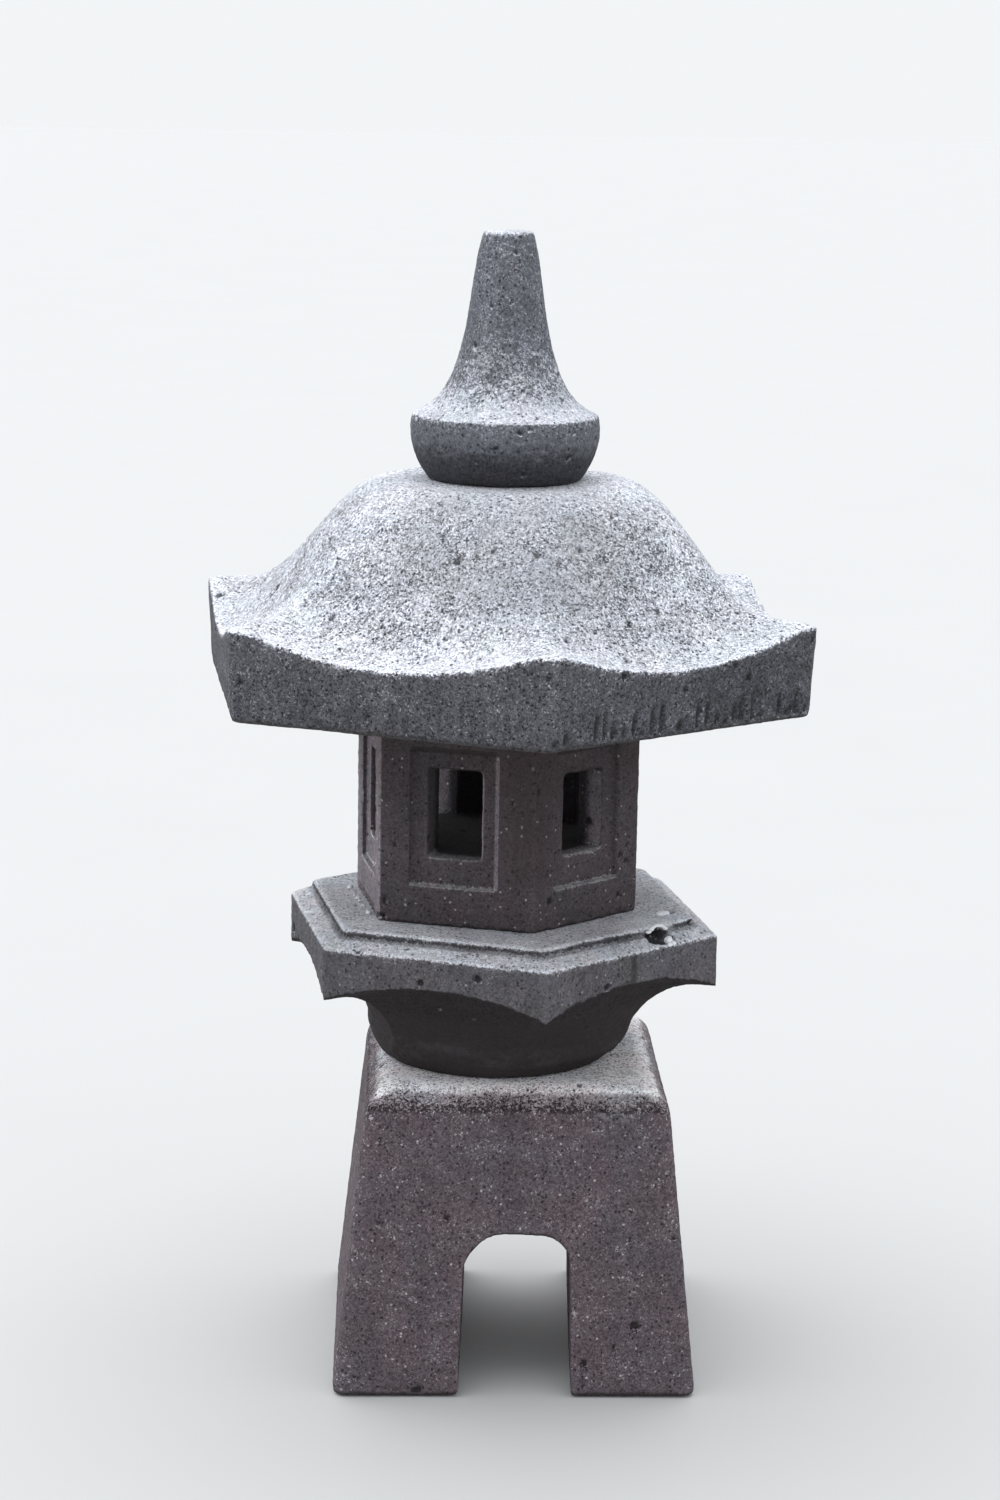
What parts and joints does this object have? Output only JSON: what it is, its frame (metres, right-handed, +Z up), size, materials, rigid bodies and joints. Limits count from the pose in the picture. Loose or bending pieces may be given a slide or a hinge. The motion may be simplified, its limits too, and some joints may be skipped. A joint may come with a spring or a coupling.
{
  "type": "stone garden lantern",
  "caption": "Stacked stone garden lantern: arched base, hexagonal platform, windowed light chamber, upturned roof and spire finial, with a tealight inside.",
  "frame": {"origin": "on the ground, under the vertical axis of the stack", "axes": "+Z up along the stack; the base's arch runs within about 2 degrees of Y and its sides are square to X and Y"},
  "size_m": [0.4756, 0.5156, 0.9],
  "materials": {
    "base_stone": "weathered vesicular lava stone, purplish brown-grey",
    "platform_stone": "weathered vesicular lava stone, dark grey",
    "chamber_stone": "weathered vesicular lava stone, dark brown-grey",
    "roof_stone": "weathered vesicular lava stone, light bluish grey",
    "finial_stone": "weathered vesicular lava stone, mid grey",
    "cup_aluminium": "thin pressed aluminium",
    "wax": "white paraffin wax",
    "wick": "waxed cotton",
    "tab_metal": "thin plated sheet"
  },
  "bodies": {
    "base": {"base": "base_stone"},
    "platform": {"platform": "platform_stone"},
    "chamber": {"light_chamber": "chamber_stone"},
    "roof": {"roof": "roof_stone"},
    "finial": {"finial": "finial_stone"},
    "tealight": {"tealight_cup": "cup_aluminium", "tealight_wax": "wax", "tealight_wick": "wick", "tealight_wick_tab": "tab_metal"}
  },
  "joints": [
    {"name": "platform_lift", "type": "slide", "parent": "base", "child": "platform", "axis": [0, 0, 1], "range_m": [0, 0.08]},
    {"name": "chamber_lift", "type": "slide", "parent": "platform", "child": "chamber", "axis": [0, 0, 1], "range_m": [0, 0.08]},
    {"name": "roof_lift", "type": "slide", "parent": "chamber", "child": "roof", "axis": [0, 0, 1], "range_m": [0, 0.12]},
    {"name": "finial_lift", "type": "slide", "parent": "roof", "child": "finial", "axis": [0, 0, 1], "range_m": [0, 0.08]},
    {"name": "tealight_out", "type": "slide", "parent": "chamber", "child": "tealight", "axis": [0.9799, 0.1994, 0], "range_m": [0, 0.11]}
  ]
}
